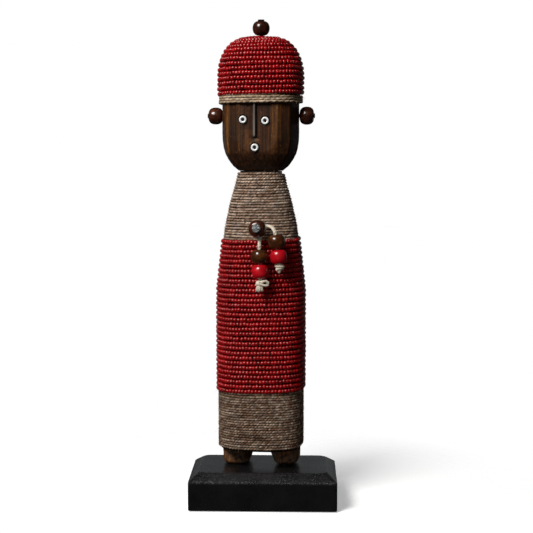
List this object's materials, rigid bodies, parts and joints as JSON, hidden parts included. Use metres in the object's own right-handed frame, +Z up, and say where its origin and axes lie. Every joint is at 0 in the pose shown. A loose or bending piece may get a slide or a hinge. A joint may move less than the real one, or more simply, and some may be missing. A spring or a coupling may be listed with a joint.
{
  "type": "fertility doll",
  "caption": "Carved wooden standing doll wound with twine and red seed beads, with a beaded cap, bead ears and two pendant strings, fixed on a chamfered block plinth.",
  "frame": {"origin": "middle of the plinth's underside", "axes": "+Z up, +X to the viewer's right, -Y towards the viewer; the plinth is square to the axes and the figure stands on it turned 5.5 degrees towards -X"},
  "size_m": [0.1032, 0.0663, 0.3383],
  "materials": {
    "black_stain": "satin black stain over fine grain",
    "carved_wood": "dark stained and waxed, rubbed golden on the edges",
    "twine": "natural two-ply twine, matte and hairy",
    "seed_beads": "opaque red glass seed beads, glossy",
    "ring_beads": "opaque white glass, glossy",
    "dark_beads": "dark brown stain under gloss lacquer",
    "amber_beads": "amber brown stain under gloss lacquer",
    "red_beads": "red paint under gloss lacquer",
    "cord": "cream cotton cord, matte",
    "nail_steel": "bare steel, textured head",
    "nail_dark": "blackened steel"
  },
  "bodies": {
    "doll": {"plinth": "black_stain", "plinth_screws": "nail_steel", "carved_figure": "carved_wood", "skirt_twine": "twine", "body_bead_strand": "seed_beads", "shoulder_twine": "twine", "headband_twine": "twine", "hat_bead_strand": "seed_beads", "left_eye_bead": "ring_beads", "right_eye_bead": "ring_beads", "mouth_bead": "ring_beads", "face_pins": "nail_dark", "ear_nails": "nail_dark", "crown_nail": "nail_dark", "chest_nail": "nail_steel", "cord_loop": "cord"},
    "left_ear": {"left_ear_bead": "dark_beads"},
    "right_ear": {"right_ear_bead": "dark_beads"},
    "crown": {"crown_bead": "dark_beads"},
    "chest": {"chest_bead": "dark_beads"},
    "left_cord_end": {"left_cord_top": "cord"},
    "left_string": {"left_cord": "cord", "left_knot": "cord"},
    "left_brown": {"left_brown_bead": "amber_beads"},
    "left_red": {"left_red_bead": "red_beads"},
    "right_cord_end": {"right_cord_top": "cord"},
    "right_string": {"right_cord": "cord", "right_knot": "cord"},
    "right_brown": {"right_brown_bead": "amber_beads"},
    "right_red": {"right_red_bead": "red_beads"}
  },
  "joints": [
    {"name": "left_ear_spin", "type": "hinge", "parent": "doll", "child": "left_ear", "pos_m": [-0.03365, 0.00607, 0.2723], "axis": [-0.9954, 0.0958, 0], "continuous": true},
    {"name": "right_ear_spin", "type": "hinge", "parent": "doll", "child": "right_ear", "pos_m": [0.03005, -0.00007, 0.2723], "axis": [0.9954, -0.0958, 0], "continuous": true},
    {"name": "crown_spin", "type": "hinge", "parent": "doll", "child": "crown", "pos_m": [-0.0018, 0.003, 0.332], "axis": [0, 0, 1], "continuous": true},
    {"name": "chest_spin", "type": "hinge", "parent": "doll", "child": "chest", "pos_m": [-0.0028, -0.01777, 0.1948], "axis": [-0.0956, -0.993, 0.0698], "continuous": true},
    {"name": "left_string_sideways", "type": "hinge", "parent": "doll", "child": "left_cord_end", "pos_m": [-0.00159, -0.01983, 0.1921], "axis": [-0.0958, -0.9954, 0], "range_deg": [-25, 1]},
    {"name": "left_string_forward", "type": "hinge", "parent": "left_cord_end", "child": "left_string", "pos_m": [-0.00221, -0.0263, 0.1841], "axis": [-0.9954, 0.0958, 0], "range_deg": [0, 50]},
    {"name": "left_brown_spin", "type": "hinge", "parent": "left_string", "child": "left_brown", "pos_m": [-0.0014, -0.02899, 0.1609], "axis": [-0.0402, 0.1037, 0.9938], "continuous": true},
    {"name": "left_red_spin", "type": "hinge", "parent": "left_string", "child": "left_red", "pos_m": [-0.0014, -0.02899, 0.1609], "axis": [-0.0402, 0.1037, 0.9938], "continuous": true},
    {"name": "right_string_sideways", "type": "hinge", "parent": "doll", "child": "right_cord_end", "pos_m": [0.00205, -0.01957, 0.1967], "axis": [-0.0958, -0.9954, 0], "range_deg": [0, 25]},
    {"name": "right_string_forward", "type": "hinge", "parent": "right_cord_end", "child": "right_string", "pos_m": [0.00528, -0.02159, 0.1966], "axis": [-0.9954, 0.0958, 0], "range_deg": [0, 50]},
    {"name": "right_brown_spin", "type": "hinge", "parent": "right_string", "child": "right_brown", "pos_m": [0.01167, -0.02747, 0.17115], "axis": [-0.1429, 0.0633, 0.9877], "continuous": true},
    {"name": "right_red_spin", "type": "hinge", "parent": "right_string", "child": "right_red", "pos_m": [0.01167, -0.02747, 0.17115], "axis": [-0.1429, 0.0633, 0.9877], "continuous": true}
  ]
}
